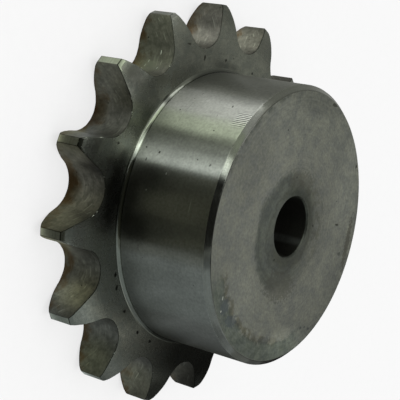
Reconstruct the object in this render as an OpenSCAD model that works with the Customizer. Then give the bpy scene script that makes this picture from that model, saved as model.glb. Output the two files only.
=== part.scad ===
// Roller-chain sprocket for a single-strand 15.875 mm (5/8 inch) chain, turned and toothed
// from one steel blank: a toothed plate with a plain boss on one side and a pilot bore.
// It stands on the plate's back face, with the boss pointing up and the bore along Z.

/* [Chain] */
// Chain pitch, roller centre to roller centre
chain_pitch = 15.875; // [15:0.005:17]
// Diameter of the chain rollers
roller_d = 10.16; // [9.5:0.01:10.8]

/* [Teeth] */
// Number of teeth
tooth_count = 15; // [14:1:24]
// Tooth height above the pitch circle
addendum = 3.32; // [2.5:0.01:3.6]
// Clearance of the seat round the roller, on the radius
seat_clearance = 0.051; // [0.03:0.001:0.2]
// Angle that the seat wraps round the roller
seat_angle = 126; // [122:1:134]
// Radius of the convex tooth flank
flank_r = 24; // [20:0.5:33]

/* [Toothed plate] */
// Width of the plate and of the tooth at its foot
plate_w = 9.1; // [7:0.1:12]
// Radius that narrows each side of a tooth towards its tip
side_r = 16; // [12:0.5:24]
// How far each side has fallen back where the tip chamfer starts
side_relief = 1.6; // [0.8:0.1:2.4]
// Chamfer along both edges of the tooth tip
tip_chamfer = 0.5; // [0.2:0.05:0.8]

/* [Boss] */
// Diameter of the boss
boss_d = 56; // [36:0.5:60]
// Length through plate and boss
overall_l = 30; // [20:0.5:45]
// Chamfer on the front edge of the boss
boss_chamfer = 1; // [0.4:0.1:2]
// Fillet where the boss meets the plate
boss_fillet = 0.8; // [0.4:0.1:1.5]

/* [Bore] */
// Diameter of the pilot bore
bore_d = 12; // [8:0.5:24]
// Chamfer on both mouths of the bore
bore_chamfer = 0.3; // [0.1:0.1:1]

/* [Hidden] */

// True curves: any count above 12 stands for a round
$fn = 180;

// How far a cutter stands past the face that it cuts
cut_margin = 1;

pitch_r = chain_pitch / (2 * sin(180 / tooth_count));
root_r = pitch_r - roller_d / 2;
tip_r = pitch_r + addendum;

seat_r = roller_d / 2 + seat_clearance;
// The seat is tangent to the root circle, so its centre lies just outside the pitch circle
seat_centre_r = root_r + seat_r;
half_seat = seat_angle / 2;
half_pitch = 180 / tooth_count;

boss_r = boss_d / 2;
bore_r = bore_d / 2;

// Radius where the side curve leaves the flat face, and where it meets the tip chamfer
relief_end_r = tip_r - tip_chamfer;
relief_start_r = relief_end_r - sqrt(pow(side_r, 2) - pow(side_r - side_relief, 2));

// Where the seat ends and the flank starts, for the tooth on side s (1 or -1) of a space
function flank_start(s) =
    [seat_centre_r - seat_r * cos(half_seat), s * seat_r * sin(half_seat)];

// Centre of the flank's arc, inside the tooth, in line with the seat's centre and the flank start
function flank_centre(s) =
    [seat_centre_r - (seat_r + flank_r) * cos(half_seat), s * (seat_r + flank_r) * sin(half_seat)];

// A point past the tip circle, on the centre line of the tooth on side s of a space
function past_tip(s) =
    [(tip_r + cut_margin) * cos(half_pitch), s * (tip_r + cut_margin) * sin(half_pitch)];

// Mouth of one tooth space: the wedge from the seat out, less the two round flanks beside it
module space_mouth() {
    difference() {
        polygon([
            [seat_centre_r, 0],
            flank_start(-1),
            past_tip(-1),
            [tip_r + 2 * cut_margin, 0],
            past_tip(1),
            flank_start(1)
        ]);
        for (s = [-1, 1])
            translate(flank_centre(s)) circle(r = flank_r);
    }
}

// Outline of one tooth space, lying along +X: the roller seat and the mouth above it
module tooth_space() {
    translate([seat_centre_r, 0]) circle(r = seat_r);
    space_mouth();
}

// Half section of the toothed plate: flat sides that curve in towards the chamfered tip
module plate_section() {
    square([relief_start_r, plate_w]);
    intersection() {
        polygon([
            [relief_start_r, 0],
            [relief_end_r - side_relief, 0],
            [tip_r, side_relief + tip_chamfer],
            [tip_r, plate_w - side_relief - tip_chamfer],
            [relief_end_r - side_relief, plate_w],
            [relief_start_r, plate_w]
        ]);
        translate([relief_start_r, side_r]) circle(r = side_r);
        translate([relief_start_r, plate_w - side_r]) circle(r = side_r);
    }
}

// Half section of the boss with its chamfered front edge and the fillet at its foot
module boss_section() {
    polygon([
        [0, 0],
        [boss_r, 0],
        [boss_r, overall_l - boss_chamfer],
        [boss_r - boss_chamfer, overall_l],
        [0, overall_l]
    ]);
    difference() {
        translate([boss_r, plate_w]) square(boss_fillet);
        translate([boss_r + boss_fillet, plate_w + boss_fillet]) circle(r = boss_fillet);
    }
}

// Half section of the bore with both chamfered mouths
module bore_section() {
    polygon([
        [0, -cut_margin],
        [bore_r + bore_chamfer + cut_margin, -cut_margin],
        [bore_r, bore_chamfer],
        [bore_r, overall_l - bore_chamfer],
        [bore_r + bore_chamfer + cut_margin, overall_l + cut_margin],
        [0, overall_l + cut_margin]
    ]);
}

// The turned blank before its teeth are cut
module blank() {
    rotate_extrude()
        difference() {
            union() {
                plate_section();
                boss_section();
            }
            bore_section();
        }
}

// The one piece: turned blank with its tooth spaces cut right through the plate
module sprocket() {
    color("#6f726c")
        difference() {
            blank();
            translate([0, 0, -cut_margin])
                linear_extrude(height = plate_w + 2 * cut_margin)
                    for (i = [0:tooth_count - 1])
                        rotate((i + 0.5) * 360 / tooth_count)
                            tooth_space();
        }
}

sprocket();
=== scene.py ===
"""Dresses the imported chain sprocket: its finished steel body, a soft studio and the photograph's camera."""

import logging
import math
from dataclasses import dataclass
from enum import IntEnum
from typing import Self

import bpy
from mathutils import Matrix, Vector


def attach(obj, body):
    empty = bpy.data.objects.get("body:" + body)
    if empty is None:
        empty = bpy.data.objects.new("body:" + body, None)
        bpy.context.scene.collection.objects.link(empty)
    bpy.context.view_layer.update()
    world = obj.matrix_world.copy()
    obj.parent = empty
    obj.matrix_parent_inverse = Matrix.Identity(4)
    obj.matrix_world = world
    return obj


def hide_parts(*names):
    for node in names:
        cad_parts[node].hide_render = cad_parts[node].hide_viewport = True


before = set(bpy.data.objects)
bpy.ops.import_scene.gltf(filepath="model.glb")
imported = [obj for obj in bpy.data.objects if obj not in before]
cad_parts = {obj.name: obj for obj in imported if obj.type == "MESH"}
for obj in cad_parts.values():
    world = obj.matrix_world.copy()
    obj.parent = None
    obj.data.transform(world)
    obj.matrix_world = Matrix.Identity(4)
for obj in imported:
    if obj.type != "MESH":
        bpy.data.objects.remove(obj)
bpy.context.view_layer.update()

MM = 0.001
BOSS_RADIUS = 28.0
BOSS_END = 30.0
LOG = logging.getLogger("sprocket")

Tree = bpy.types.NodeTree
Node = bpy.types.Node
Socket = bpy.types.NodeSocket
Material = bpy.types.Material
Span = tuple[float, float]
Triple = tuple[float, float, float]
Colour = tuple[float, float, float, float]
Fade = tuple[str, float, float]

# Blender's own names for the node kinds and settings that come up again and again.
MATH, VECTOR, RANGE = "ShaderNodeMath", "ShaderNodeVectorMath", "ShaderNodeMapRange"
NOISE, MIX = "ShaderNodeTexNoise", "ShaderNodeMix"
SPLIT, JOIN = "ShaderNodeSeparateXYZ", "ShaderNodeCombineXYZ"
SUM, PRODUCT, PRODUCT_AND_SUM = {"operation": "ADD"}, {"operation": "MULTIPLY"}, {"operation": "MULTIPLY_ADD"}
DIFFERENCE, QUOTIENT, ARCTAN = {"operation": "SUBTRACT"}, {"operation": "DIVIDE"}, {"operation": "ARCTAN2"}
LENGTH, DISTANCE = {"operation": "LENGTH"}, {"operation": "DISTANCE"}
DOT, SCALED = {"operation": "DOT_PRODUCT"}, {"operation": "SCALE"}
SOFT, LINEAR = {"interpolation_type": "SMOOTHSTEP"}, {"noise_dimensions": "1D"}
BLEND, MULTIPLIED = {"data_type": "RGBA"}, {"data_type": "RGBA", "blend_type": "MULTIPLY"}
MIX_SHARE, MIX_FIRST, MIX_SECOND = 0, 6, 7

# Where a noise's value starts to count and where it counts in full.
CLOUD_SPAN, LINE_SPAN, SPECK_SPAN, ROUGH_SPAN = (0.38, 0.64), (0.25, 0.75), (0.3, 0.7), (0.35, 0.65)
BITE_SPAN, NICK_SPAN = (0.52, 0.75), (0.64, 0.69)
# Where a spot starts and where it is full, as shares of its half sizes.
TONE_SPAN, MARK_SPAN = (1.6, 0.4), (1.25, 0.75)
RAGGEDNESS = 0.35
PIT_COLOUR, PIT_DEPTH, PIT_FLOOR, PITS_LEFT_OUT = "#2a2a24", 8.0, 0.4, 0.35
# Weight of an edge at which its painted shade is full.
FULL_EDGE = 0.8
QUARTER_TURN = 0.25
# Steps along a rounded edge, after its start.
ROUND_STEPS = (0.35, 0.65, 1.0)


def hex_to_linear(code: str) -> Colour:
    """Turn an sRGB hex colour into linear RGBA.

    Args:
        code: Colour as #rrggbb.

    Returns:
        The linear colour with alpha 1.
    """
    parts = [int(code[i:i + 2], 16) / 255 for i in (1, 3, 5)]
    red, green, blue = (c / 12.92 if c <= 0.04045 else ((c + 0.055) / 1.055) ** 2.4 for c in parts)
    return red, green, blue, 1.0


def add_node(tree: Tree, kind: str, settings: dict[str, object] | None = None,
             inputs: dict[str | int, object] | tuple[object, ...] = ()) -> Node:
    """Add one node, then set its properties and set or link its inputs.

    Args:
        tree: Tree that gets the node.
        kind: Blender's name for the node.
        settings: Properties by name.
        inputs: Values, output sockets or whole nodes, by input name or number, or in the inputs' own order.
            A node stands for its first output.

    Returns:
        The new node.
    """
    node = tree.nodes.new(kind)
    for name, value in (settings or {}).items():
        setattr(node, name, value)
    given = inputs if isinstance(inputs, dict) else dict(enumerate(inputs))
    for key, value in given.items():
        if isinstance(value, Node):
            value = next(output for output in value.outputs if output.enabled)
        if isinstance(value, Socket):
            tree.links.new(value, node.inputs[key])
        else:
            node.inputs[key].default_value = value
    return node


def blank_material(name: str) -> Material:
    """New material whose node tree is empty."""
    material = bpy.data.materials.new(name)
    material.use_nodes = True
    material.node_tree.nodes.clear()
    return material


def linked(name: str, data: bpy.types.ID) -> bpy.types.Object:
    """New object that holds this mesh, lamp or camera, linked to the scene."""
    holder = bpy.data.objects.new(name, data)
    bpy.context.scene.collection.objects.link(holder)
    return holder


def spread(start: float, end: float, count: int) -> list[float]:
    """Evenly spaced values after start, up to and with end."""
    return [start + (end - start) * (i + 1) / count for i in range(count)]


class Region(IntEnum):
    """Parts of the surface that were cut in different ways, in the order of their materials."""

    BOSS_SIDE = 0
    BOSS_FACE = 1
    CHAMFER = 2
    FILLET = 3
    PLATE = 4
    EDGE = 5
    LAND = 6
    TOOTH_WALL = 7
    BORE = 8
    TIP = 9


@dataclass(frozen=True)
class Row:
    """One point of a section, in millimetres, with the region up to the next point and its edge weight."""

    x: float
    y: float
    z: float
    region: Region
    edge: float = 0.0


@dataclass(frozen=True)
class OutlinePoint:
    """One point of the tooth outline, in millimetres, with the direction that faces out of the steel."""

    x: float
    y: float
    out_x: float
    out_y: float
    land: bool = False


@dataclass
class SprocketBody:
    """The turned and toothed piece of steel: 15 teeth for a 15.875 mm pitch chain. Sizes in millimetres."""

    chain_pitch: float = 15.875
    roller_d: float = 10.16
    tooth_count: int = 15
    addendum: float = 3.32
    seat_clearance: float = 0.051
    seat_angle: float = 126.0
    flank_r: float = 24.0
    plate_w: float = 9.1
    side_r: float = 16.0
    side_relief: float = 1.6
    tip_chamfer: float = 0.5
    boss_r: float = BOSS_RADIUS
    overall_l: float = BOSS_END
    boss_chamfer: float = 1.0
    boss_fillet: float = 0.8
    bore_r: float = 6.0
    bore_chamfer: float = 0.3
    tip_trim: float = 0.01
    edge_round: float = 0.07
    corner_round: float = 0.12
    side_round: float = 0.1
    rim_round: float = 0.12
    mouth_round: float = 0.06
    support: float = 0.1
    # Width over which the painted shade along a tooth edge fades into the wall.
    painted_shade_width: float = 0.16
    turned_edge: float = 0.25
    turned_edge_end: float = 0.1
    join_distance: float = 0.001
    nick_size: float = 0.9
    nick_depth: float = 0.07
    seed: int = 7

    def __post_init__(self) -> None:
        """Work out the circles that the tooth form hangs on."""
        self.half_pitch = math.pi / self.tooth_count
        self.pitch_r = self.chain_pitch / (2 * math.sin(self.half_pitch))
        self.root_r = self.pitch_r - self.roller_d / 2
        self.tip_r = self.pitch_r + self.addendum - self.tip_trim
        self.seat_r = self.roller_d / 2 + self.seat_clearance
        self.seat_centre_r = self.root_r + self.seat_r
        self.half_seat = math.radians(self.seat_angle / 2)
        self.relief_end_r = self.tip_r - self.tip_chamfer
        self.relief_start_r = self.relief_end_r - math.sqrt(
            self.side_r ** 2 - (self.side_r - self.side_relief) ** 2)
        self.foot_r = self.boss_r + self.boss_fillet

    def relief(self, radius: float) -> float:
        """How far the side of the plate has fallen back at a radius."""
        if radius <= self.relief_start_r:
            return 0.0
        if radius <= self.relief_end_r:
            return self.side_r - math.sqrt(self.side_r ** 2 - (radius - self.relief_start_r) ** 2)
        return self.side_relief + radius - self.relief_end_r

    def flank_point(self, turn: float) -> OutlinePoint:
        """Point of the convex flank whose outward direction is turned by this angle from the middle."""
        reach = self.seat_r + self.flank_r
        centre_x = self.seat_centre_r - reach * math.cos(self.half_seat)
        centre_y = reach * math.sin(self.half_seat)
        out_x, out_y = math.cos(turn), -math.sin(turn)
        return OutlinePoint(centre_x + self.flank_r * out_x, centre_y + self.flank_r * out_y, out_x, out_y)

    def flank_turn_at_tip(self) -> float:
        """Angle of the flank's outward direction where the flank meets the tip circle, found by halving."""
        halvings = 50
        low, high = 0.0, self.half_seat
        for _ in range(halvings):
            middle = (low + high) / 2
            point = self.flank_point(middle)
            if math.hypot(point.x, point.y) > self.tip_r:
                low = middle
            else:
                high = middle
        return (low + high) / 2

    def half_outline(self) -> list[OutlinePoint]:
        """Outline from the bottom of a roller seat, up one flank, to the middle of the tooth's land.

        Returns:
            Points in order, on the upper side of a space that lies along +X.
        """
        seat_steps, flank_steps, corner_steps, land_steps = 11, 9, 3, 2
        points = [
            OutlinePoint(self.seat_centre_r - self.seat_r * math.cos(a), self.seat_r * math.sin(a),
                         math.cos(a), -math.sin(a))
            for a in [0.0] + spread(0.0, self.half_seat, seat_steps)
        ]
        tip_turn = self.flank_turn_at_tip()
        last_turn = tip_turn + self.corner_round / self.flank_r
        support_turn = last_turn + self.support / self.flank_r
        for turn in spread(self.half_seat, support_turn, flank_steps) + [last_turn]:
            points.append(self.flank_point(turn))
        start, corner = points[-1], self.flank_point(tip_turn)
        land_start = math.atan2(corner.y, corner.x) + self.corner_round / self.tip_r
        end_x, end_y = self.tip_r * math.cos(land_start), self.tip_r * math.sin(land_start)
        for t in spread(0.0, 1.0, corner_steps):
            x = (1 - t) ** 2 * start.x + 2 * t * (1 - t) * corner.x + t * t * end_x
            y = (1 - t) ** 2 * start.y + 2 * t * (1 - t) * corner.y + t * t * end_y
            dx = (1 - t) * (corner.x - start.x) + t * (end_x - corner.x)
            dy = (1 - t) * (corner.y - start.y) + t * (end_y - corner.y)
            size = math.hypot(dx, dy)
            points.append(OutlinePoint(x, y, dy / size, -dx / size, t == 1.0))
        held = land_start + self.support / self.tip_r
        for angle in [held] + spread(held, self.half_pitch, land_steps):
            out_x, out_y = math.cos(angle), math.sin(angle)
            points.append(OutlinePoint(self.tip_r * out_x, self.tip_r * out_y, out_x, out_y, True))
        return points

    def space_outline(self) -> list[OutlinePoint]:
        """Outline of one whole pitch, from the middle of one land to the middle of the next."""
        upper = self.half_outline()
        lower = [OutlinePoint(p.x, -p.y, p.out_x, -p.out_y, p.land) for p in reversed(upper[1:])]
        return lower + upper

    def rounded(self, before: Span, corner: Span, after: Span, size: float,
                first: Region, rim: Region, last: Region) -> list[Row]:
        """Round one corner of the turned section and put a support point on each side of it.

        Args:
            before: Radius and height of the corner before.
            corner: Radius and height of the corner itself.
            after: Radius and height of the corner after.
            size: How far from the corner the round starts.
            first: Region before the round.
            rim: Region of the round itself.
            last: Region after the round.

        Returns:
            The support point, the round and the second support point.
        """
        here = Vector(corner)
        back = (Vector(before) - here).normalized()
        ahead = (Vector(after) - here).normalized()
        rows = [Row(*self.flat(here + back * (size + self.support)), first)]
        for t in (0.0, *ROUND_STEPS):
            point = here + back * size * (1 - t) ** 2 + ahead * size * t * t
            edge = self.turned_edge if 0.0 < t < 1.0 else self.turned_edge_end
            rows.append(Row(*self.flat(point), last if t == 1.0 else rim, edge))
        return rows + [Row(*self.flat(here + ahead * (size + self.support)), last)]

    @staticmethod
    def flat(point: Vector) -> Triple:
        """Place of a section point, given by radius and height, in the plane y = 0."""
        return point.x, 0.0, point.y

    def turned_section(self) -> list[Row]:
        """The section that is the same all round: from the boss's foot over boss and bore to the back face.

        Returns:
            Rows in the plane y = 0, in order.
        """
        top, chamfer, mouth = self.overall_l, self.boss_chamfer, self.bore_chamfer
        side_top, face_rim = (self.boss_r, top - chamfer), (self.boss_r - chamfer, top)
        face_bore, bore_top = (self.bore_r + mouth, top), (self.bore_r, top - mouth)
        bore_foot, back_bore, back_foot = (self.bore_r, mouth), (self.bore_r + mouth, 0.0), (self.foot_r, 0.0)
        fillet_z = self.plate_w + self.boss_fillet
        side_start = fillet_z + self.support
        side, face, edge, bore = Region.BOSS_SIDE, Region.BOSS_FACE, Region.EDGE, Region.BORE
        cut, foot, plate = Region.CHAMFER, Region.FILLET, Region.PLATE
        foot_steps, side_steps, face_steps, bore_steps, back_steps = 6, 15, 13, 5, 6
        rim_gap, mouth_gap, bore_gap, back_gap = 0.5, 0.6, 1.0, 0.8
        rows = [Row(self.foot_r, 0.0, self.plate_w, foot)]
        for a in spread(0.0, math.pi / 2, foot_steps):
            rows.append(Row(self.foot_r - self.boss_fillet * math.sin(a), 0.0,
                            fillet_z - self.boss_fillet * math.cos(a),
                            side if math.isclose(a, math.pi / 2) else foot))
        for z in [side_start] + spread(side_start, side_top[1] - rim_gap, side_steps):
            rows.append(Row(self.boss_r, 0.0, z, side))
        rows += self.rounded((self.boss_r, fillet_z), side_top, face_rim, self.side_round, side, side, cut)
        rows += self.rounded(side_top, face_rim, face_bore, self.rim_round, cut, cut, face)
        for r in spread(face_rim[0] - rim_gap, face_bore[0] + mouth_gap, face_steps):
            rows.append(Row(r, 0.0, top, face))
        rows += self.rounded(face_rim, face_bore, bore_top, self.mouth_round, face, face, face)[:-1]
        rows += self.rounded(face_bore, bore_top, bore_foot, self.mouth_round, face, face, bore)[1:]
        for z in spread(top - bore_gap, bore_gap, bore_steps):
            rows.append(Row(self.bore_r, 0.0, z, bore))
        rows += self.rounded(bore_top, bore_foot, back_bore, self.mouth_round, bore, edge, edge)[:-1]
        rows += self.rounded(bore_foot, back_bore, back_foot, self.mouth_round, edge, edge, plate)[1:]
        for r in spread(back_bore[0] + back_gap, self.foot_r, back_steps):
            rows.append(Row(r, 0.0, 0.0, plate))
        return rows

    def side_rings(self, inset: float) -> list[float]:
        """Radii of the rings on one side of the plate, from past the boss's foot to the tooth's rounded edge.

        In a tooth space, where the relief would start or end past the edge, they keep to a share of the way.

        Args:
            inset: Radius where the rounded edge starts at this place of the outline.

        Returns:
            Radii in order.
        """
        near_share, far_share, held_share, last_share = 0.8, 0.93, 0.3, 0.5
        flat_steps, curved_steps = 4, 5
        near = min(self.relief_start_r, self.foot_r + near_share * (inset - self.foot_r))
        far = min(self.relief_end_r, near + far_share * (inset - near))
        held = far - min(self.support, held_share * (far - near))
        rings = spread(self.foot_r, near, flat_steps) + spread(near, held, curved_steps)
        return rings + [far, inset - min(self.support, last_share * (inset - far)), inset]

    def toothed_section(self, point: OutlinePoint) -> list[Row]:
        """The rest of the section at one place of the outline: back side, edge, wall, edge and front side.

        Args:
            point: Place of the outline.

        Returns:
            Rows in order, from past the foot on the back to just before it on the front.
        """
        wall_steps, tiny = 7, 1e-6
        size = self.edge_round
        angle = math.atan2(point.y, point.x)
        inner = Vector((point.x - size * point.out_x, point.y - size * point.out_y))
        inset_angle = math.atan2(inner.y, inner.x)
        half: list[tuple[float, float, float, float]] = []
        radii = self.side_rings(inner.length)
        for radius in radii:
            turn = angle + (inset_angle - angle) * (radius - self.foot_r) / (inner.length - self.foot_r)
            half.append((radius * math.cos(turn), radius * math.sin(turn), self.relief(radius), 0.0))
        drop_in, drop_out = half[-1][2], self.relief(math.hypot(point.x, point.y))
        for t in ROUND_STEPS:
            share = 1 - (1 - t) ** 2
            half.append((inner.x + (point.x - inner.x) * share, inner.y + (point.y - inner.y) * share,
                         drop_in + (drop_out - drop_in) * share + size * t * t, 1.0))
        edge, tip, wall = Region.EDGE, Region.TIP, Region.TOOTH_WALL
        back = [tip if r > self.relief_end_r - tiny else Region.PLATE for r in radii[:-1]]
        front = [tip if r > self.relief_end_r + tiny else Region.PLATE for r in reversed(radii)]
        back, front = back + [edge] * 3 + [wall], [edge] * 3 + front
        rows = [Row(x, y, depth, region, weight) for (x, y, depth, weight), region in zip(half, back)]
        # The wall's rows start past the band of painted shade along each edge.
        low, high = drop_out + size + self.painted_shade_width, self.plate_w - drop_out - size - self.painted_shade_width
        rows += [Row(point.x, point.y, z, wall) for z in [low] + spread(low, high, wall_steps)]
        rows += [Row(x, y, self.plate_w - depth, region, weight)
                 for (x, y, depth, weight), region in zip(reversed(half), front)]
        return rows

    def pitch_wedge(self) -> bpy.types.Object:
        """Build the mesh of one pitch: a closed section swept from one land's middle to the next.

        Returns:
            An object with the wedge, whose faces carry their region and whose points carry an edge weight.
        """
        turned = self.turned_section()
        outline = self.space_outline()
        columns: list[list[Row]] = []
        for point in outline:
            angle = math.atan2(point.y, point.x)
            column = [Row(row.x * math.cos(angle), row.x * math.sin(angle), row.z, row.region, row.edge)
                      for row in turned]
            columns.append(column + self.toothed_section(point))
        count = len(columns[0])
        vertices = [(row.x * MM, row.y * MM, row.z * MM) for column in columns for row in column]
        faces, regions = [], []
        for c in range(len(columns) - 1):
            for r in range(count):
                after = (r + 1) % count
                faces.append((c * count + r, (c + 1) * count + r, (c + 1) * count + after, c * count + after))
                region = columns[c][r].region
                on_land = region == Region.TOOTH_WALL and outline[c].land and outline[c + 1].land
                regions.append(int(Region.LAND if on_land else region))
        mesh = bpy.data.meshes.new("pitch_wedge")
        mesh.from_pydata(vertices, [], faces)
        mesh.attributes.new("region", "INT", "FACE").data.foreach_set("value", regions)
        weights = [row.edge for column in columns for row in column]
        mesh.attributes.new("edge", "FLOAT", "POINT").data.foreach_set("value", weights)
        return linked("pitch_wedge", mesh)

    def ring_tree(self, finishes: dict[Region, Material]) -> Tree:
        """Geometry Nodes that repeat the wedge round the axis, join it and knock small nicks into its edges.

        Args:
            finishes: Material of each region.

        Returns:
            The node tree, with its sizes as named inputs.
        """
        tree = bpy.data.node_groups.new("toothed_ring", "GeometryNodeTree")
        sockets = (
            ("Geometry", "Geometry", None), ("Teeth", "Int", self.tooth_count),
            ("Join Distance", "Float", self.join_distance * MM), ("Nick Size", "Float", self.nick_size * MM),
            ("Nick Depth", "Float", self.nick_depth * MM), ("Seed", "Float", float(self.seed)),
        )
        for name, kind, value in sockets:
            socket = tree.interface.new_socket(name, in_out="INPUT", socket_type=f"NodeSocket{kind}")
            if value is not None:
                socket.default_value = value
        tree.interface.new_socket("Geometry", in_out="OUTPUT", socket_type="NodeSocketGeometry")
        given = add_node(tree, "NodeGroupInput").outputs

        points = add_node(tree, "GeometryNodePoints", inputs={"Count": given["Teeth"]})
        place = add_node(tree, MATH, SUM, (add_node(tree, "GeometryNodeInputIndex"), 0.5))
        pitch = add_node(tree, MATH, QUOTIENT, (math.tau, given["Teeth"]))
        angle = add_node(tree, MATH, PRODUCT, (place, pitch))
        euler = add_node(tree, JOIN, inputs={"Z": angle})
        turn = add_node(tree, "FunctionNodeEulerToRotation", inputs=(euler,))
        ring = add_node(tree, "GeometryNodeInstanceOnPoints", inputs={
            "Points": points, "Instance": given["Geometry"], "Rotation": turn})
        whole = add_node(tree, "GeometryNodeRealizeInstances", inputs={"Geometry": ring})
        joined = add_node(tree, "GeometryNodeMergeByDistance", inputs={
            "Geometry": whole, "Distance": given["Join Distance"]})

        scale = add_node(tree, MATH, QUOTIENT, (1.0, given["Nick Size"]))
        noise = add_node(tree, NOISE, {"noise_dimensions": "4D"}, {
            "W": given["Seed"], "Scale": scale, "Detail": 1.0})
        depth = add_node(tree, RANGE, inputs=(noise, *BITE_SPAN))
        edge = add_node(tree, "GeometryNodeInputNamedAttribute", {"data_type": "FLOAT"}, {"Name": "edge"})
        for factor in (edge, given["Nick Depth"], -1.0):
            depth = add_node(tree, MATH, PRODUCT, (depth, factor))
        shift = add_node(tree, VECTOR, SCALED, {0: add_node(tree, "GeometryNodeInputNormal"), "Scale": depth})
        nicked = add_node(tree, "GeometryNodeSetPosition", inputs={"Geometry": joined, "Offset": shift})
        last = add_node(tree, "GeometryNodeSetShadeSmooth", inputs={"Geometry": nicked})
        region = add_node(tree, "GeometryNodeInputNamedAttribute", {"data_type": "INT"}, {"Name": "region"})
        for kind, material in finishes.items():
            same = add_node(tree, "FunctionNodeCompare", {"data_type": "INT", "operation": "EQUAL"},
                            {"A": region, "B": int(kind)})
            last = add_node(tree, "GeometryNodeSetMaterial", inputs={
                "Geometry": last, "Selection": same, "Material": material})
        add_node(tree, "NodeGroupOutput", inputs={"Geometry": last})
        return tree

    def build(self, finishes: dict[Region, Material]) -> bpy.types.Object:
        """Make the finished body, which stands for the CAD node.

        Args:
            finishes: Material of each region.

        Returns:
            The piece, a plain mesh.
        """
        wedge = self.pitch_wedge()
        modifier = wedge.modifiers.new("ring", "NODES")
        modifier.node_group = self.ring_tree(finishes)
        for item in modifier.node_group.interface.items_tree:
            if item.in_out == "INPUT" and item.name != "Geometry":
                modifier[item.identifier] = item.default_value
        evaluated = wedge.evaluated_get(bpy.context.evaluated_depsgraph_get())
        mesh = bpy.data.meshes.new_from_object(evaluated)
        wedge.modifiers.remove(modifier)
        bpy.data.objects.remove(wedge)
        mesh.name = "sprocket_body"
        piece = linked("sprocket_body", mesh)
        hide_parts("sprocket")
        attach(piece, "root")
        return piece


@dataclass(frozen=True)
class Spot:
    """A place on the steel: its middle and half sizes in millimetres."""

    place: Triple
    half: Triple

    @classmethod
    def side(cls, azimuth: float, height: float, wide: float, tall: float, *look: str | float) -> Self:
        """Spot on the unrolled side: millimetres round it from the -X side, and the height."""
        return cls((math.radians(azimuth - 180) * BOSS_RADIUS, height, 0.0), (wide, tall, 1.0), *look)

    @classmethod
    def end(cls, x: float, y: float, wide: float, tall: float, *look: str | float) -> Self:
        """Spot on the boss's faced end."""
        return cls((x, y, BOSS_END), (wide, tall, 1.0), *look)

    def reach(self, tree: Tree, here: Node) -> Node:
        """Distance from the spot's middle, as a share of its half sizes."""
        from_middle = add_node(tree, VECTOR, DIFFERENCE, (here, self.place))
        in_halves = add_node(tree, VECTOR, QUOTIENT, (from_middle, self.half))
        return add_node(tree, VECTOR, LENGTH, (in_halves,))


@dataclass(frozen=True)
class Mark(Spot):
    """One pit, stain or scratch, or a spot of painted highlight or painted shade: its colour and how much it
    covers.
    """

    colour: str
    cover: float = 1.0

    def laid_over(self, tree: Tree, here: Node, ragged: Node, colour: Node) -> Node:
        """Colour with the mark on it, whose edge a noise makes ragged."""
        uneven = add_node(tree, MATH, SUM, (self.reach(tree, here), ragged))
        share = add_node(tree, RANGE, SOFT, (uneven, *MARK_SPAN, 0.0, self.cover))
        return add_node(tree, MIX, BLEND, {
            MIX_SHARE: share, MIX_FIRST: colour, MIX_SECOND: hex_to_linear(self.colour)})


@dataclass(frozen=True)
class Tone(Spot):
    """A softly bounded duller or brighter area: gain of the colour, and tint. Most tones are painted light
    and painted shade laid into the colour.
    """

    gain: float
    tint: str = "#ffffff"

    def laid_over(self, tree: Tree, here: Node, ragged: Node, colour: Node) -> Node:
        """Colour made duller or brighter in the area. Its soft edge doesn't use the ragged noise."""
        red, green, blue, alpha = hex_to_linear(self.tint)
        share = add_node(tree, RANGE, SOFT, (self.reach(tree, here), *TONE_SPAN))
        return add_node(tree, MIX, MULTIPLIED, {
            MIX_SHARE: share, MIX_FIRST: colour,
            MIX_SECOND: (self.gain * red, self.gain * green, self.gain * blue, alpha)})


def inside(tree: Tree, values: dict[str, Node | Socket], fades: tuple[Fade, ...],
           share: Node | float) -> Node | float:
    """Let a share fade out beyond soft limits.

    Args:
        tree: Tree that gets the nodes.
        values: What the limits are set on, by name.
        fades: For each limit, the value's name, where the share is none and where it is whole.
        share: Share inside all the limits.

    Returns:
        The share after all the limits.
    """
    for name, edge, within in fades:
        window = add_node(tree, RANGE, SOFT, (values[name], edge, within))
        share = add_node(tree, MATH, PRODUCT, (window, share))
    return share


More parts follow.
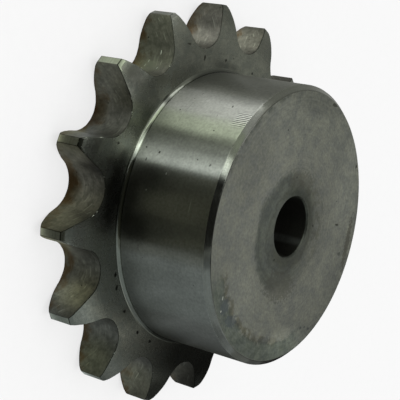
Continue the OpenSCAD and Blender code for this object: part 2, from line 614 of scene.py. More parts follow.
@dataclass(frozen=True)
class SteelFinish:
    """How one region of the steel was cut and has aged, with the painted light and shade laid on it. Sizes
    are in millimetres, shares from 0 to 1.
    """

    name: str
    colour: str
    cloud: str
    cloud_size: float = 5.0
    cloud_share: float = 0.6
    cloud_grain: float = 0.6
    line_pitch: float = 0.35
    line_share: float = 0.06
    speck_size: float = 0.35
    speck_share: float = 0.08
    roughness: float = 0.45
    rough_spread: float = 0.05
    relief: float = 0.003
    anisotropic: float = 0.0
    pit_spacing: float = 3.5
    pit_size: float = 0.22
    # How much painted shade darkens the rounded edges.
    painted_edge_shade: float = 0.0
    marks: tuple[Mark, ...] = ()
    # Tones: most of them painted light and painted shade.
    tones: tuple[Tone, ...] = ()

    def place(self, tree: Tree, solid: Node) -> Node:
        """Coordinates in millimetres in which the marks are placed."""
        return solid

    def height(self, tree: Tree, solid: Node) -> Node:
        """Height above the plate's back face in millimetres."""
        return add_node(tree, VECTOR, DOT, (solid, (0.0, 0.0, 1.0)))

    def across_cut(self, tree: Tree, solid: Node) -> Node:
        """Distance in millimetres across the cutting lines: the radius, as on a faced end."""
        flat = add_node(tree, VECTOR, PRODUCT, (solid, (1.0, 1.0, 0.0)))
        return add_node(tree, VECTOR, LENGTH, (flat,))

    def wear(self, tree: Tree, solid: Node, colour: Node) -> Node:
        """Colour with what is particular to this finish. A plain finish adds nothing."""
        return colour

    def pits(self, tree: Tree, solid: Node) -> Node:
        """Sparse small pits: a mask that is 1 in a pit."""
        cells = add_node(tree, "ShaderNodeTexVoronoi", inputs={
            "Vector": solid, "Scale": 1 / self.pit_spacing})
        reach = self.pit_size / self.pit_spacing
        near = add_node(tree, RANGE, inputs=(cells, reach, PIT_FLOOR * reach))
        pick = add_node(tree, "ShaderNodeSeparateColor", inputs=(cells.outputs["Color"],))
        kept = add_node(tree, MATH, {"operation": "GREATER_THAN"}, (pick, PITS_LEFT_OUT))
        return add_node(tree, MATH, PRODUCT, (near, kept))

    def build(self) -> Material:
        """Make the material.

        Returns:
            Metal whose colour, roughness and relief vary with clouds, cutting lines, specks, pits and marks,
            and whose colour carries painted light and shade from tones, marks and edges.
        """
        material = blank_material(self.name)
        tree = material.node_tree
        place = add_node(tree, "ShaderNodeTexCoord").outputs["Object"]
        solid = add_node(tree, VECTOR, SCALED, {0: place, "Scale": 1 / MM})
        clouds = add_node(tree, NOISE, inputs={
            "Vector": solid, "Scale": 1 / self.cloud_size, "Detail": 4.0, "Roughness": self.cloud_grain})
        specks = add_node(tree, NOISE, inputs={"Vector": solid, "Scale": 1 / self.speck_size, "Detail": 2.0})
        lines = add_node(tree, NOISE, LINEAR, {
            "W": self.across_cut(tree, solid), "Scale": 1 / self.line_pitch, "Detail": 2.0})

        cloudy = add_node(tree, RANGE, inputs=(clouds, *CLOUD_SPAN, 0.0, self.cloud_share))
        colour = add_node(tree, MIX, BLEND, {
            MIX_SHARE: cloudy, MIX_FIRST: hex_to_linear(self.colour), MIX_SECOND: hex_to_linear(self.cloud)})
        lined = add_node(tree, RANGE, inputs=(lines, *LINE_SPAN, -self.line_share, self.line_share))
        specked = add_node(tree, RANGE, inputs=(
            specks, *SPECK_SPAN, 1 - self.speck_share, 1 + self.speck_share))
        shade = add_node(tree, MATH, SUM, (lined, specked))
        colour = add_node(tree, VECTOR, SCALED, {0: colour, "Scale": shade})
        colour = self.wear(tree, solid, colour)
        pits = self.pits(tree, solid)
        colour = add_node(tree, MIX, BLEND, {
            MIX_SHARE: pits, MIX_FIRST: colour, MIX_SECOND: hex_to_linear(PIT_COLOUR)})
        ragged = add_node(tree, RANGE, inputs=(specks, *SPECK_SPAN, -RAGGEDNESS, RAGGEDNESS))
        here = self.place(tree, solid)
        # Most tones and some marks are painted light and painted shade; the others are the steel's own
        # stains, pits and scratches.
        for spot in self.tones + self.marks:
            colour = spot.laid_over(tree, here, ragged, colour)
        # Painted shade: the colour darkens along rounded edges, by their edge weight.
        if self.painted_edge_shade:
            edge = add_node(tree, "ShaderNodeAttribute", {"attribute_name": "edge"}).outputs["Fac"]
            kept = add_node(tree, RANGE, inputs=(edge, 0.0, FULL_EDGE, 1.0, 1 - self.painted_edge_shade))
            colour = add_node(tree, VECTOR, SCALED, {0: colour, "Scale": kept})

        rough = add_node(tree, RANGE, inputs=(
            clouds, *ROUGH_SPAN, self.roughness - self.rough_spread, self.roughness + self.rough_spread))
        height = add_node(tree, MATH, SUM, (lines, specks))
        dented = add_node(tree, MATH, PRODUCT_AND_SUM, (pits, -PIT_DEPTH, height))
        bump = add_node(tree, "ShaderNodeBump", inputs={"Height": dented, "Distance": self.relief * MM})
        settings: dict[str | int, object] = {
            "Base Color": colour, "Metallic": 1.0, "Roughness": rough, "Normal": bump}
        if self.anisotropic:
            round_axis = {"direction_type": "RADIAL", "axis": "Z"}
            settings["Tangent"] = add_node(tree, "ShaderNodeTangent", round_axis)
            settings["Anisotropic"] = self.anisotropic
            settings["Anisotropic Rotation"] = QUARTER_TURN
        shader = add_node(tree, "ShaderNodeBsdfPrincipled", inputs=settings)
        add_node(tree, "ShaderNodeOutputMaterial", inputs={"Surface": shader})
        return material


@dataclass(frozen=True)
class TurnedSide(SteelFinish):
    """A turned cylinder: cutting lines run round it, and marks are placed on the unrolled surface."""

    chatter_share: float = 0.0
    chatter_pitch: float = 0.45
    chatter_window: tuple[Fade, ...] = (("X", -21.8, -21.2), ("X", -17.6, -18.6), ("Y", 25.5, 26.9))
    wobble: float = 2.5
    wobbles_per_mm: float = 1.1

    def place(self, tree: Tree, solid: Node) -> Node:
        """Unrolled coordinates: millimetres round the cylinder from the -X side, and the height."""
        turned = add_node(tree, VECTOR, SCALED, {0: solid, "Scale": -1.0})
        away = add_node(tree, SPLIT, inputs=(turned,)).outputs
        angle = add_node(tree, MATH, ARCTAN, (away["Y"], away["X"]))
        arc = add_node(tree, MATH, PRODUCT, (angle, BOSS_RADIUS))
        return add_node(tree, JOIN, inputs=(arc, self.across_cut(tree, solid)))

    def across_cut(self, tree: Tree, solid: Node) -> Node:
        """Distance across the cutting lines: the height."""
        return self.height(tree, solid)

    def wear(self, tree: Tree, solid: Node, colour: Node) -> Node:
        """Add the short wavy rows that the tool's chatter left near the front edge, where there are any."""
        if not self.chatter_share:
            return colour
        flat = add_node(tree, SPLIT, inputs=(self.place(tree, solid),)).outputs
        noise = add_node(tree, NOISE, inputs={"Vector": solid, "Scale": self.wobbles_per_mm, "Detail": 1.0})
        shift = add_node(tree, MATH, PRODUCT, (noise, self.wobble))
        phase = add_node(tree, MATH, PRODUCT_AND_SUM, (flat["X"], math.tau / self.chatter_pitch, shift))
        rows = add_node(tree, MATH, {"operation": "SINE"}, (phase,))
        cover = inside(tree, {"X": flat["X"], "Y": flat["Y"]}, self.chatter_window, rows)
        gain = add_node(tree, MATH, PRODUCT_AND_SUM, (cover, self.chatter_share, 1.0))
        return add_node(tree, VECTOR, SCALED, {0: colour, "Scale": gain})


@dataclass(frozen=True)
class Stain:
    """One darker area of the faced end: what it multiplies the colour by, how much, and its soft limits."""

    tint: str
    cover: float
    fades: tuple[Fade, ...]


@dataclass(frozen=True)
class FacedEnd(SteelFinish):
    """The boss's end: a scuffed zone round the bore, and a bluish band with a brown rim by the lower edge."""

    zone_middle: Span = (-0.6, -1.2)
    slope: Triple = (0.7, 0.7, 0.0)
    sway: float = 5.0
    rim_sway: float = 0.8
    waves_per_mm: float = 0.3
    patches_per_mm: float = 0.6
    stains: tuple[Stain, ...] = (
        Stain("#d8dddc", 1.0, (("zone", 12.6, 9.6), ("x", 11.0, 0.0))),
        Stain("#cdd0d0", 0.9, (("zone", 9.0, 10.8), ("zone", 12.6, 11.2), ("x", 2.0, -6.0))),
        Stain("#d6d5cf", 0.8, (("zone", 13.5, 11.5), ("zone", 7.5, 10.5), ("slope", -2.0, 7.0),
                               ("patch", 0.45, 0.6))),
        Stain("#dfdfdb", 0.8, (("zone", 7.4, 7.9), ("zone", 8.6, 8.0))),
        Stain("#c2c5bf", 0.9, (("radius", 9.5, 7.0), ("slope", -3.0, 6.0))),
        Stain("#cecdc6", 0.8, (("radius", 9.5, 7.0), ("y", -2.0, -7.0))),
        Stain("#c8c2b4", 0.8, (("rim", 21.7, 22.7), ("rim", 24.2, 23.2), ("angle", -2.80, -2.60),
                               ("angle", -1.2, -1.7), ("patch", 0.38, 0.55))),
        Stain("#d8e0de", 1.0, (("rim", 22.9, 23.8), ("angle", -2.80, -2.55), ("angle", -0.95, -1.3))),
        Stain("#dde0de", 0.8, (("rim", 22.9, 23.8), ("angle", -2.80, -2.55), ("angle", -0.95, -1.3),
                               ("patch", 0.42, 0.62))),
        # A burr along the rim with its painted shade, full from about 120° to 155° round.
        Stain("#c3c6c2", 0.9, (("radius", 25.6, 26.7), ("angle", 1.6, 2.1), ("angle", 3.1, 2.7),
                               ("patch", 0.42, 0.55))),
    )

    def wear(self, tree: Tree, solid: Node, colour: Node) -> Node:
        """Darken the zone, its rings, the band along the lower edge, and the burred rim with its painted
        shade.
        """
        wave = add_node(tree, NOISE, inputs={
            "Vector": solid, "Scale": self.waves_per_mm, "Detail": 5.0, "Roughness": 0.6})
        swing = add_node(tree, MATH, PRODUCT_AND_SUM, (wave, self.sway, -self.sway / 2))
        parts = add_node(tree, SPLIT, inputs=(solid,)).outputs
        flat = add_node(tree, JOIN, inputs=(parts["X"], parts["Y"]))
        off = add_node(tree, VECTOR, DISTANCE, (flat, (*self.zone_middle, 0.0)))
        radius = self.across_cut(tree, solid)
        patch = add_node(tree, NOISE, inputs={"Vector": solid, "Scale": self.patches_per_mm, "Detail": 3.0})
        values = {
            "x": parts["X"], "y": parts["Y"], "radius": radius, "patch": patch,
            "slope": add_node(tree, VECTOR, DOT, (flat, self.slope)),
            "zone": add_node(tree, MATH, SUM, (off, swing)),
            "rim": add_node(tree, MATH, PRODUCT_AND_SUM, (swing, self.rim_sway, radius)),
            "angle": add_node(tree, MATH, ARCTAN, (parts["Y"], parts["X"])),
        }
        for stain in self.stains:
            share = inside(tree, values, stain.fades, stain.cover)
            colour = add_node(tree, MIX, MULTIPLIED, {
                MIX_SHARE: share, MIX_FIRST: colour, MIX_SECOND: hex_to_linear(stain.tint)})
        return colour


@dataclass(frozen=True)
class CutterLines:
    """One kind of line that the cutter left: spacing in millimetres, spans of two noises, cover, colour."""

    pitch: float
    line_span: Span
    patch_span: Span
    cover: float
    colour: str


@dataclass(frozen=True)
class MilledWall(SteelFinish):
    """Walls of the tooth spaces: curved cutter scratches across them, and rust towards the back side."""

    cutter_middle: Span = (30.0, -7.0)
    smears: CutterLines = CutterLines(0.9, (0.50, 0.68), (0.44, 0.60), 0.25, "#7d7d73")
    scratches: CutterLines = CutterLines(0.4, (0.58, 0.72), (0.53, 0.62), 0.6, "#94958a")
    bend: float = 2.5
    bends_per_mm: float = 0.2
    patches_per_mm: float = 0.42
    rust: str = "#46361f"
    rust_cover: float = 0.85
    rust_span: Span = (-1.2, -4.4)
    rust_sway: float = 9.0

    def across_cut(self, tree: Tree, solid: Node) -> Node:
        """Distance across the scratches, which are arcs round a point below the back side."""
        flat = add_node(tree, JOIN, inputs=(super().across_cut(tree, solid), self.height(tree, solid)))
        return add_node(tree, VECTOR, DISTANCE, (flat, (*self.cutter_middle, 0.0)))

    def wear(self, tree: Tree, solid: Node, colour: Node) -> Node:
        """Add pale smears and short scratches in some places, and rust along the back edge."""
        where = add_node(tree, NOISE, inputs={"Vector": solid, "Scale": self.bends_per_mm, "Detail": 1.0})
        arcs = add_node(tree, MATH, PRODUCT_AND_SUM, (where, self.bend, self.across_cut(tree, solid)))
        patch = add_node(tree, NOISE, inputs={"Vector": solid, "Scale": self.patches_per_mm, "Detail": 3.0})
        for kind in (self.smears, self.scratches):
            lines = add_node(tree, NOISE, LINEAR, {"W": arcs, "Scale": 1 / kind.pitch, "Detail": 2.0})
            fine = add_node(tree, RANGE, inputs=(lines, *kind.line_span))
            some = add_node(tree, RANGE, inputs=(patch, *kind.patch_span, 0.0, kind.cover))
            share = add_node(tree, MATH, PRODUCT, (fine, some))
            colour = add_node(tree, MIX, BLEND, {
                MIX_SHARE: share, MIX_FIRST: colour, MIX_SECOND: hex_to_linear(kind.colour)})
        uneven = add_node(tree, MATH, PRODUCT_AND_SUM, (patch, -self.rust_sway, self.height(tree, solid)))
        rusty = add_node(tree, RANGE, SOFT, (uneven, *self.rust_span, 0.0, self.rust_cover))
        return add_node(tree, MIX, BLEND, {
            MIX_SHARE: rusty, MIX_FIRST: colour, MIX_SECOND: hex_to_linear(self.rust)})


@dataclass(frozen=True)
class BrokenEdge(SteelFinish):
    """Edges: painted darker than the faces as shade, with small bright nicks."""

    nick: str = "#b9bdb1"
    nicks_per_mm: float = 1.3

    def wear(self, tree: Tree, solid: Node, colour: Node) -> Node:
        """Add the nicks."""
        noise = add_node(tree, NOISE, inputs={"Vector": solid, "Scale": self.nicks_per_mm, "Detail": 2.0})
        bright = add_node(tree, RANGE, inputs=(noise, *NICK_SPAN))
        return add_node(tree, MIX, BLEND, {
            MIX_SHARE: bright, MIX_FIRST: colour, MIX_SECOND: hex_to_linear(self.nick)})


def sprocket_finishes() -> dict[Region, SteelFinish]:
    """Finish of each region of the sprocket.

    Returns:
        Finishes by region.
    """
    dark, pale, burr = "#24241f", "#c9cdc4", "#3a3b35"
    side_marks = (
        Mark.side(139.6, 13.6, 0.16, 0.16, dark, 0.8), Mark.side(131.9, 14.5, 0.16, 0.12, dark, 0.7),
        Mark.side(128.3, 15.2, 0.3, 0.12, dark, 0.6), Mark.side(161.2, 26.3, 0.22, 0.2, dark, 0.6),
        Mark.side(146.7, 23.5, 0.16, 0.16, dark, 0.8), Mark.side(160.0, 14.5, 0.24, 0.18, dark, 0.9),
        Mark.side(159.0, 11.1, 0.18, 0.18, dark, 0.9), Mark.side(133.3, 23.7, 0.3, 0.18, dark, 0.8),
        Mark.side(130.3, 26.2, 0.6, 0.4, "#6a6c66", 0.4), Mark.side(140.0, 15.0, 3.8, 0.06, "#5c5e58", 0.5),
        Mark.side(139.2, 22.1, 0.22, 0.14, dark, 0.5), Mark.side(163.8, 12.2, 0.35, 0.2, dark, 0.6),
        Mark.side(167.7, 17.7, 0.2, 0.12, pale), Mark.side(175.3, 14.3, 0.15, 0.15, pale),
        Mark.side(178.0, 24.7, 1.3, 0.07, pale, 0.7), Mark.side(198.0, 14.1, 0.6, 0.08, dark, 0.5),
    )
    # Painted shade and painted highlights in the side's streaks.
    side_painted_light = (
        Tone.side(190.2, 12.4, 2.6, 3.8, 0.38), Tone.side(170, 13.8, 2.2, 3.2, 0.6),
        Tone.side(179, 10.8, 4.0, 1.8, 0.5), Tone.side(179, 26, 8.5, 6.5, 1.22),
        Tone.side(170.5, 26, 1.8, 6.5, 1.22), Tone.side(188, 26, 2.2, 6.5, 1.15),
        Tone.side(236, 10.8, 9.0, 2.0, 0.75), Tone.side(209, 11.3, 6.0, 2.0, 0.85),
        Tone.side(128.8, 23, 1.3, 9.0, 0.8), Tone.side(158, 22, 1.3, 8.0, 0.85),
    )
    # A painted glint and two spots of painted shade on the chamfer.
    chamfer_painted_light = (
        Tone.side(160.2, 29.2, 1.6, 0.45, 1.4), Tone.side(167.2, 29.5, 1.0, 0.8, 0.5),
        Tone.side(196.8, 29.5, 1.5, 0.8, 0.5),
    )
    face_tones = (
        Tone((1.0, -0.8, 30), (11.0, 10.5, 3), 0.6), Tone((-18.0, 11.0, 30), (6.5, 8.0, 3), 0.8),
        Tone((22.0, 10.5, 30), (6.0, 9.0, 3), 1.25), Tone((7.0, -24.0, 30), (7.0, 3.0, 3), 1.5),
        Tone((1.0, 25.5, 30), (10.0, 2.5, 3), 0.8), Tone((-14.5, -14.5, 30), (6.0, 6.0, 3), 1.12),
    )
    face_marks = (
        Mark.end(-1.6, 9.8, 0.25, 0.25, dark, 0.9), Mark.end(-4.1, -6.7, 0.3, 0.2, dark, 0.8),
        Mark.end(8.4, 0.8, 0.25, 0.25, dark), Mark.end(18.4, 1.6, 0.65, 0.2, dark, 0.8),
        Mark.end(21.9, 14.3, 0.32, 0.32, dark, 0.9), Mark.end(16.4, 6.4, 0.15, 0.15, dark, 0.7),
        Mark.end(-18.3, -16.0, 1.3, 1.5, "#4c545a", 0.6), Mark.end(-15.4, -18.8, 1.8, 1.2, "#4c545a", 0.6),
        Mark.end(-19.6, -14.4, 0.15, 0.35, pale, 0.6), Mark.end(-19.3, -16.9, 0.2, 0.2, pale, 0.7),
        Mark.end(7.75, 25.5, 1.0, 0.4, burr, 0.8), Mark.end(24.6, -2.0, 0.9, 5.5, "#4f4d44", 0.6),
        Mark.end(22.0, -4.5, 0.5, 0.5, "#4c4f4b", 0.7), Mark.end(11.8, -20.5, 0.4, 0.3, "#4c504f", 0.8),
        Mark.end(13.3, -20.3, 0.3, 0.3, "#4c504f", 0.8), Mark.end(15.0, -20.6, 0.4, 0.3, "#4c504f", 0.7),
        Mark.end(-0.5, -11.8, 5.5, 3.0, "#4d4c43", 0.4), Mark.end(0.5, 9.3, 4.5, 1.8, "#4f4e46", 0.35),
        Mark.end(-2.0, -22.8, 2.2, 0.7, "#4c504f", 0.5),
    )
    plate_marks = (
        Mark((-10.4, 29.5, 9), (0.25, 0.6, 2), dark), Mark((-3.0, 30.3, 9), (0.3, 0.3, 2), dark),
        Mark((7.4, 29.3, 9), (0.3, 0.3, 2), dark), Mark((-16.4, 31.2, 9), (0.5, 0.2, 2), dark, 0.8),
        Mark((-25.4, -14.8, 9), (0.3, 0.6, 2), dark), Mark((-24.2, -17.4, 9), (0.3, 0.6, 2), dark),
        Mark((-20.4, -21.9, 9), (0.4, 0.3, 2), dark), Mark((-14.9, -26.2, 9), (0.35, 0.35, 2), dark),
        Mark((-10.3, -28.1, 9), (0.35, 0.35, 2), dark), Mark((-31.9, 9.8, 9), (0.3, 0.3, 2), dark, 0.8),
    )
    # Painted shade over much of the plate, and painted light in a few places.
    plate_painted_light = (
        Tone((-11.8, 29.2, 9), (9.0, 4.0, 3.0), 0.7), Tone((-25.5, 18.5, 9), (4.0, 4.5, 3.0), 0.48),
        Tone((-30.1, 10.9, 9), (2.6, 1.8, 3.0), 1.9), Tone((-30.6, 0.5, 9), (2.6, 6.0, 3.0), 0.28),
        Tone((-35.0, 7.5, 8.5), (3.8, 2.8, 5.0), 0.6), Tone((6.0, -31.5, 9), (13.0, 5.5, 4.0), 0.25),
        Tone((-38.5, -8.0, 8), (3.5, 3.5, 5.0), 1.3), Tone((-33.4, 23.2, 8.5), (4.0, 4.0, 4.0), 0.68),
        Tone((-39.6, 8.6, 8.0), (2.2, 2.6, 4.0), 0.65), Tone((-30.6, 22.6, 8.6), (2.2, 2.6, 3.0), 0.55),
        Tone((-24.9, 15.2, 9.1), (1.6, 2.5, 2.0), 0.7), Tone((-2.0, 28.8, 9.1), (4.5, 1.2, 2.0), 0.6),
        Tone((-29.6, 7.4, 9.1), (1.2, 1.6, 2.0), 0.55),
    )
    # Painted light and painted shade on the tooth walls; the three warm-tinted ones near the back side also
    # warm the colour.
    wall_painted_light = (
        Tone((8.5, 37.0, 5.0), (4.0, 4.0, 7.0), 3.3), Tone((-8.2, 34.3, 5.0), (2.6, 1.8, 5.0), 2.2),
        Tone((-6.6, 37.2, 8.0), (3.0, 3.5, 3.0), 0.72),
        Tone((-36.0, 3.5, 4.5), (5.0, 6.0, 8.0), 1.3, "#e2e2ff"),
        Tone((-21.2, 31.5, 4.5), (4.0, 4.0, 6.0), 0.75), Tone((-30.7, 15.7, 7.0), (2.5, 2.5, 4.0), 0.68),
        Tone((-33.5, -1.5, 4.5), (2.5, 3.0, 6.0), 1.4),
        Tone((-20.0, -33.0, 4.5), (4.5, 4.5, 6.0), 0.82, "#ffffe2"),
        Tone((-32.0, -15.0, 4.5), (2.5, 3.0, 6.0), 0.72),
        Tone((-5.0, -38.2, 4.5), (4.5, 4.5, 6.0), 1.5, "#fffff0"),
        Tone((-31.8, -19.4, 5.0), (2.2, 2.4, 5.0), 2.1, "#fffff4"),
        Tone((-34.2, -24.0, 5.0), (2.2, 2.2, 6.0), 1.15),
        Tone((-21.3, -34.0, 4.0), (2.0, 2.5, 6.0), 1.4), Tone((-36.3, -5.0, 4.5), (3.0, 2.5, 6.0), 1.35),
        Tone((8.5, -36.0, 5.0), (3.5, 3.5, 6.0), 0.7),
        Tone((-33.2, 0.5, 1.2), (1.5, 3.0, 1.8), 0.45, "#fff0d8"),
        Tone((-29.9, 15.0, 1.0), (1.8, 3.0, 2.2), 0.45, "#ffecd0"),
        Tone((-22.4, 25.2, 1.2), (1.8, 3.0, 2.0), 1.15, "#ffecc8"),
    )
    # Painted light and painted shade along the fillet's line.
    foot_painted_light = (
        Tone((-9.25, 26.85, 9.4), (5.5, 3.0, 2.0), 0.55), Tone((-26.2, 11.0, 9.4), (1.5, 1.9, 2.0), 2.7),
        Tone((-28.4, 0.0, 9.4), (2.0, 6.0, 2.0), 0.45), Tone((-27.6, 7.0, 9.4), (1.2, 1.4, 2.0), 0.5),
        Tone((-20.43, 19.73, 9.4), (1.1, 1.1, 1.6), 0.32), Tone((-1.5, 28.4, 9.4), (4.5, 2.0, 2.0), 0.65),
    )
    # Painted shade on two lands and painted light on two others.
    land_painted_light = (
        Tone.side(120, 4.5, 5.0, 9.0, 0.42), Tone.side(96, 4.5, 5.0, 9.0, 0.44),
        Tone.side(168, 4.5, 5.0, 9.0, 1.6, "#fbf8ff"), Tone.side(192, 4.5, 5.0, 9.0, 2.0, "#eeeeff"),
    )
    # Painted highlights: pale glints and a paler patch at the bottom of one seat.
    seat_painted_highlights = (
        Mark((-22.01, 24.73, 3.03), (0.35, 0.35, 0.12), pale, 0.7),
        Mark((-21.39, 25.45, 3.33), (0.4, 0.4, 0.1), pale, 0.7),
        Mark((-20.87, 26.37, 3.63), (0.3, 0.3, 0.12), pale, 0.6),
        Mark((-20.45, 28.41, 5.87), (0.2, 0.5, 0.12), pale, 0.7),
        Mark((-21.56, 25.22, 6.46), (0.35, 0.35, 0.1), pale, 0.6),
        Mark((-21.7, 25.2, 4.2), (1.6, 1.6, 2.6), "#75786a", 0.5),
    )
    # Painted shade on two tip bevels and a painted highlight on one.
    tip_painted_light = tuple(Mark.side(azimuth, 7.25, 2.2, 1.0, colour, cover) for azimuth, colour, cover in (
        (120, "#474842", 0.85), (144, "#8c8f84", 0.8), (168, "#2c2d27", 0.9)))
    # A painted streak of light inside the bore.
    bore_painted_light = (Tone.side(331, 24.0, 3.6, 9.0, 3.2, "#f0f6ff"),)
    return {
        # Turned to size: pale and smooth, so it mirrors its surroundings in streaks along the axis; its tones
        # add painted shade and painted highlights to the streaks.
        Region.BOSS_SIDE: TurnedSide(
            "fine_turned_steel", "#84867f", "#7a7c76", roughness=0.33, rough_spread=0.02, anisotropic=1.0,
            line_pitch=0.4, line_share=0.025, speck_size=0.5, speck_share=0.14, pit_spacing=4.0,
            pit_size=0.15, chatter_share=0.9, marks=side_marks, tones=side_painted_light),
        # Faced in one pass and handled since: matte, cloudy, with faint rings and stains.
        Region.BOSS_FACE: FacedEnd(
            "faced_steel", "#70736e", "#84867b", cloud_size=2.8, cloud_share=0.9, cloud_grain=0.75,
            anisotropic=0.3, line_share=0.07, speck_size=0.6, speck_share=0.15, pit_spacing=6.0,
            marks=face_marks, tones=face_tones),
        # Chamfered with a form tool: a narrow smooth cone that turns near black or bright, with a painted
        # glint, painted shade spots and painted shade along its rounded edges.
        Region.CHAMFER: TurnedSide(
            "chamfered_steel", "#7a7c75", "#6f716a", roughness=0.18, rough_spread=0.03, anisotropic=0.4,
            pit_spacing=6.0, painted_edge_shade=1.0, tones=chamfer_painted_light),
        # The tool's nose left this curve smooth: a thin line of light and dark round the boss's foot, partly
        # painted light and painted shade.
        Region.FILLET: SteelFinish(
            "nose_cut_steel", "#7b7e75", "#71746c", roughness=0.17, rough_spread=0.02, anisotropic=0.5,
            relief=0.001, speck_size=0.6, tones=foot_painted_light),
        # Faced, then rolled about in a bin: darker through painted shade, with painted light in a few places,
        # fine speckle, and glossy along the tool's rings.
        Region.PLATE: SteelFinish(
            "dull_faced_steel", "#818379", "#6c7069", cloud_size=3.0, cloud_share=0.9, cloud_grain=0.7,
            roughness=0.27, anisotropic=0.7, speck_size=0.5, speck_share=0.12, pit_spacing=4.0,
            pit_size=0.2, marks=plate_marks, tones=plate_painted_light),
        # Burrs knocked off: narrow edges with bright nicks, whose dark colour is painted shade.
        Region.EDGE: BrokenEdge("broken_edge_painted_shade_steel", "#2e2f29", "#23241f", roughness=0.4, pit_spacing=8.0),
        # The blank's turned outside, left between the tooth spaces: pale, with lines round it, painted shade
        # on two lands and painted light on two others, and painted shade along its edges.
        Region.LAND: TurnedSide(
            "turned_rim_steel", "#b0b4a5", "#8e9285", roughness=0.36, line_share=0.1, pit_spacing=3.0,
            painted_edge_shade=0.5, tones=land_painted_light),
        # Milled by a form cutter: olive grey, scratched in arcs, with rust where it faces the back; painted
        # light and shade in many spaces, painted highlights at one seat's bottom, and painted shade along its
        # edges.
        Region.TOOTH_WALL: MilledWall(
            "milled_steel", "#67665e", "#53534c", roughness=0.48, rough_spread=0.04, cloud_size=1.6,
            cloud_share=0.9, cloud_grain=0.7, speck_size=0.6, speck_share=0.16, pit_spacing=2.5,
            painted_edge_shade=0.6, marks=seat_painted_highlights, tones=wall_painted_light),
        # Drilled through: dark, with faint lines round it and a painted streak of light inside.
        Region.BORE: TurnedSide(
            "drilled_steel", "#4c4c46", "#3e3e39", line_share=0.05, line_pitch=0.6, tones=bore_painted_light),
        # Narrow turned bevels by the tooth tips: smooth, so each one is black, grey or pale as a whole; two
        # are painted dark as shade and one pale as a highlight, and their edges get painted shade.
        Region.TIP: TurnedSide(
            "turned_bevel_steel", "#71746c", "#686b62", roughness=0.3, line_share=0.03, pit_spacing=3.0,
            painted_edge_shade=0.4, marks=tip_painted_light),
    }


@dataclass(frozen=True)
class Card:
    """One reflector card: where it starts round the axis in degrees, its tint, and how bright its parts are.

    A card without a brim is open between its top and the hood.
    """

    start: float
    tint: str
    dish: float
    low: float
    middle: float
    top: float
    brim: float | None = None


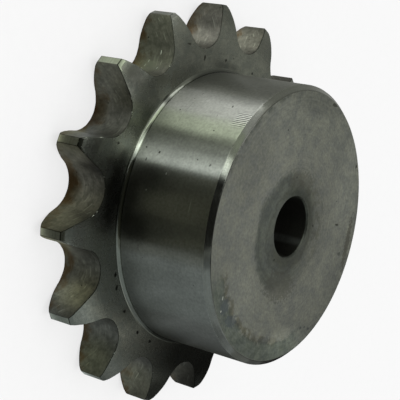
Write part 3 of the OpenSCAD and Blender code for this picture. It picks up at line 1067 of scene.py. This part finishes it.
@dataclass
class Studio:
    """Pale floor, soft overhead light and a ring of cards that the turned steel mirrors. Sizes in metres."""

    floor_size: float = 6.0
    floor_colour: str = "#f8f8f8"
    floor_glow: float = 0.75
    fibres_per_mm: float = 0.5
    fibre_span: Span = (0.99, 1.01)
    world_level: float = 0.45
    light_size: float = 1.8
    light_height: float = 0.9
    light_power: float = 9.5
    ring_radius: float = 0.049
    dish_radius: float = 0.044
    inner_radius: float = 0.031
    inner_level: float = 0.65
    ring_lift: float = 0.0002
    card_heights: Triple = (0.022, 0.045, 0.085)
    steps: int = 240
    cards: tuple[Card, ...] = (
        Card(-17, "#f4f4ee", 0.10, 0.10, 0.10, 0.75), Card(20, "#f4f6ee", 0.34, 0.34, 0.50, 0.50),
        Card(97, "#f4f6ee", 0.40, 0.62, 0.60, 0.90), Card(105, "#f8f9f9", 0.35, 2.35, 2.80, 0.90),
        Card(125, "#eef8e2", 0.35, 2.15, 2.55, 0.80), Card(136, "#f0f6e8", 0.90, 0.50, 0.50, 0.60),
        Card(142.5, "#f2f8f0", 0.90, 0.85, 0.85, 3.20), Card(149, "#f4faf6", 0.60, 1.80, 1.80, 2.40, 5.0),
        Card(154.5, "#f4faf8", 0.30, 2.40, 2.40, 0.10), Card(159.4, "#e8eacc", 0.02, 0.07, 0.10, 0.01, 0.03),
        Card(204.5, "#eef4ee", 0.15, 0.38, 0.38, 0.50, 0.5),
        Card(210.5, "#e6f0f4", 0.15, 0.65, 0.65, 0.70, 0.5),
        Card(216, "#e6f0f4", 0.15, 0.60, 0.60, 0.70, 0.5), Card(226, "#e6f0f4", 0.15, 0.59, 0.59, 0.70, 0.5),
        Card(247, "#e9f0f4", 0.15, 0.38, 0.38, 0.80, 0.5), Card(262, "#e9f0f4", 0.15, 0.29, 0.52, 1.20, 0.5),
        Card(268.5, "#e9f0f4", 0.15, 0.13, 0.62, 1.30, 0.5),
        Card(275, "#eef2ee", 0.15, 0.05, 0.36, 0.80, 0.5),
        Card(290, "#eef2ee", 0.10, 0.03, 0.18, 0.45, 0.5), Card(300, "#f0f0ea", 0.05, 0.02, 0.06, 0.70, 0.5),
    )
    hood_height: float = 0.12
    hood_radius: float = 0.048
    hood_hole: float = 0.0005
    hood_level: float = 0.03

    def paper(self) -> Material:
        """White paper with a faint fibre grain. Part of its brightness is its own, which fades the shadow."""
        material = blank_material("pale_paper")
        tree = material.node_tree
        place = add_node(tree, "ShaderNodeTexCoord").outputs["Object"]
        fibres = add_node(tree, NOISE, inputs={
            "Vector": place, "Scale": self.fibres_per_mm / MM, "Detail": 2.0})
        grain = add_node(tree, RANGE, inputs=(fibres, 0.0, 1.0, *self.fibre_span))
        colour = add_node(tree, VECTOR, SCALED, {0: hex_to_linear(self.floor_colour)[:3], "Scale": grain})
        matte = add_node(tree, "ShaderNodeBsdfDiffuse", inputs={"Color": colour})
        glow = add_node(tree, "ShaderNodeEmission", inputs={"Color": colour})
        seen: float | Node = 0.0
        path = add_node(tree, "ShaderNodeLightPath").outputs
        for kind in ("Is Camera Ray", "Is Glossy Ray", "Is Transmission Ray"):
            seen = add_node(tree, MATH, PRODUCT_AND_SUM, (path[kind], self.floor_glow, seen))
        both = add_node(tree, "ShaderNodeMixShader", inputs=(seen, matte, glow))
        add_node(tree, "ShaderNodeOutputMaterial", inputs={"Surface": both})
        return material

    def floor(self) -> bpy.types.Object:
        """Build the floor under the part."""
        half = self.floor_size / 2
        corners = [(-half, -half, 0), (half, -half, 0), (half, half, 0), (-half, half, 0)]
        mesh = bpy.data.meshes.new("floor")
        mesh.from_pydata(corners, [], [(0, 1, 2, 3)])
        mesh.materials.append(self.paper())
        floor = linked("floor", mesh)
        return floor

    def glow_material(self) -> Material:
        """Light that takes its colour and strength from the card's own attribute."""
        material = blank_material("reflector_card")
        tree = material.node_tree
        shade = add_node(tree, "ShaderNodeAttribute", {"attribute_name": "glow"})
        glow = add_node(tree, "ShaderNodeEmission", inputs={"Color": shade})
        add_node(tree, "ShaderNodeOutputMaterial", inputs={"Surface": glow})
        return material

    def reflector_ring(self) -> bpy.types.Object:
        """Build the cards round the part, which only mirror in the steel.

        Returns:
            The ring: an inner dish under the teeth, the cards' outer dish and upright wall, and a hood.
        """
        lift, ring, top = self.ring_lift, self.ring_radius, self.hood_height
        section = [(self.inner_radius, lift), (self.dish_radius, lift), (ring, lift)]
        section += [(ring, height) for height in self.card_heights]
        section += [(self.hood_radius, top), (self.hood_hole, top)]
        width = len(section)
        vertices, faces, glows = [], [], []
        starts = [card.start % 360 for card in self.cards]
        for i in range(self.steps):
            middle = (i + 0.5) * 360 / self.steps
            card = self.cards[min(range(len(starts)), key=lambda k: (middle - starts[k]) % 360)]
            for corner in (i, i + 1):
                angle = corner * math.tau / self.steps
                vertices += [(r * math.cos(angle), r * math.sin(angle), z) for r, z in section]
            first = 2 * width * i
            levels = (card.dish, card.low, card.middle, card.top, card.brim)
            red, green, blue, _ = hex_to_linear(card.tint)
            for k, level in enumerate((self.inner_level, *levels, self.hood_level)):
                if level is not None:
                    faces.append((first + k, first + k + 1, first + width + k + 1, first + width + k))
                    glows += (red * level, green * level, blue * level, 1.0)
        mesh = bpy.data.meshes.new("reflector_ring")
        mesh.from_pydata(vertices, [], faces)
        mesh.attributes.new("glow", "FLOAT_COLOR", "FACE").data.foreach_set("color", glows)
        mesh.materials.append(self.glow_material())
        cards = linked("reflector_ring", mesh)
        cards.visible_camera = cards.visible_diffuse = cards.visible_shadow = False
        cards.visible_transmission = cards.visible_volume_scatter = False
        return cards

    def light(self) -> None:
        """Hang one large soft light over the part and set an even pale world."""
        lamp = bpy.data.lights.new("softbox", "AREA")
        lamp.shape = "DISK"
        lamp.size = self.light_size
        lamp.energy = self.light_power
        linked("softbox", lamp).location = (0.0, 0.0, self.light_height)
        world = bpy.data.worlds.new("studio")
        world.use_nodes = True
        world.node_tree.nodes["Background"].inputs["Color"].default_value = (self.world_level,) * 3 + (1.0,)
        bpy.context.scene.world = world

    def build(self) -> None:
        """Set up the whole studio."""
        self.floor()
        self.reflector_ring()
        self.light()


@dataclass(frozen=True)
class PhotoCamera:
    """The photograph's viewpoint, fitted to the part's outline: place in metres, image axes, lens, sensor."""

    place: Triple = (-0.19852, 0.01131, 0.14370)
    right: Triple = (0.56201, 0.19308, 0.80428)
    down: Triple = (0.07560, -0.98029, 0.18251)
    lens: float = 104.65
    sensor: float = 36.0

    def build(self) -> bpy.types.Object:
        """Make the camera and choose it for the scene."""
        data = bpy.data.cameras.new("photo_camera")
        data.lens = self.lens
        data.sensor_width = self.sensor
        camera = linked("photo_camera", data)
        right, up = Vector(self.right).normalized(), -Vector(self.down).normalized()
        back = right.cross(up).normalized()
        turn = Matrix((right, back.cross(right), back)).transposed()
        camera.matrix_world = Matrix.Translation(self.place) @ turn.to_4x4()
        bpy.context.scene.camera = camera
        return camera


def main() -> None:
    """Build the camera, the sprocket's body and the studio, in order."""
    PhotoCamera().build()
    finishes = {region: finish.build() for region, finish in sprocket_finishes().items()}
    body = SprocketBody().build(finishes)
    LOG.info("%s: %d faces", body.name, len(body.data.polygons))
    Studio().build()
    LOG.info("studio ready")
    bpy.context.scene.view_settings.view_transform = "Standard"


if __name__ == "__main__":
    logging.basicConfig(level=logging.INFO)
    main()
